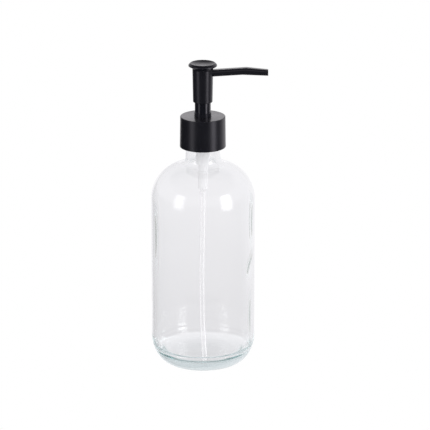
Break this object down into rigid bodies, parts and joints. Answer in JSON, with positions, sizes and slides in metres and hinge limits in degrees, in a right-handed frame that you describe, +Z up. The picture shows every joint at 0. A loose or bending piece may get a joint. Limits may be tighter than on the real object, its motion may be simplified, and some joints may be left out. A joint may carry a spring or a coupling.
{
  "type": "soap pump dispenser",
  "caption": "Round clear glass bottle with a black screw-on hand pump: press the dished head to draw soap up the dip tube and out of a bent spout.",
  "frame": {"origin": "centre of the ring that the bottle stands on, on the bottle's axis", "axes": "+Z up the bottle's axis, +X along the spout at rest, +Y to the back"},
  "size_m": [0.0829, 0.074, 0.221],
  "materials": {
    "clear_glass": "clear soda-lime glass, polished, faint blue-green where it is thick",
    "black_plastic": "black moulded polypropylene, satin to semi-gloss",
    "natural_plastic": "natural translucent polypropylene",
    "tube_plastic": "natural translucent polyethylene tube",
    "gasket_foam": "soft white polyethylene",
    "spring_steel": "drawn stainless spring wire",
    "ball_steel": "polished stainless ball"
  },
  "bodies": {
    "bottle": {"bottle": "clear_glass"},
    "pump_body": {"neck_gasket": "gasket_foam", "pump_housing": "natural_plastic", "guide_neck": "black_plastic", "wiper_seal": "gasket_foam", "dip_tube": "tube_plastic", "ball_cage": "natural_plastic"},
    "closure": {"collar_cover": "black_plastic", "screw_closure": "black_plastic"},
    "plunger": {"piston": "natural_plastic", "return_spring": "spring_steel"},
    "head": {"stem": "natural_plastic", "stem_plug": "natural_plastic", "outlet_cage": "natural_plastic", "head_core": "black_plastic", "head_sleeve": "black_plastic", "head_button": "black_plastic", "spout": "black_plastic"},
    "inlet_ball": {"inlet_ball": "ball_steel"},
    "outlet_ball": {"outlet_ball": "ball_steel"}
  },
  "joints": [
    {"name": "pump_rise", "type": "slide", "parent": "bottle", "child": "pump_body", "axis": [0, 0, 1], "range_m": [0, 0.00635]},
    {"name": "closure_turn", "type": "hinge", "parent": "pump_body", "child": "closure", "pos_m": [0, 0, 0.17], "axis": [0, 0, 1], "range_deg": [0, 540]},
    {"name": "head_press", "type": "slide", "parent": "pump_body", "child": "plunger", "axis": [0, 0, 1], "range_m": [-0.01, 0], "stiffness_N_per_m": 500, "springref_m": 0.01, "deforming": ["return_spring"]},
    {"name": "head_swivel", "type": "hinge", "parent": "plunger", "child": "head", "pos_m": [0, 0, 0.2], "axis": [0, 0, 1], "continuous": true},
    {"name": "inlet_ball_lift", "type": "slide", "parent": "pump_body", "child": "inlet_ball", "axis": [0, 0, 1], "range_m": [0, 0.0015]},
    {"name": "outlet_ball_lift", "type": "slide", "parent": "head", "child": "outlet_ball", "axis": [0, 0, 1], "range_m": [0, 0.0015]}
  ],
  "couplings": [
    {"joint": "closure_turn", "follows": "pump_rise", "rad_per_m": 1484.2}
  ]
}
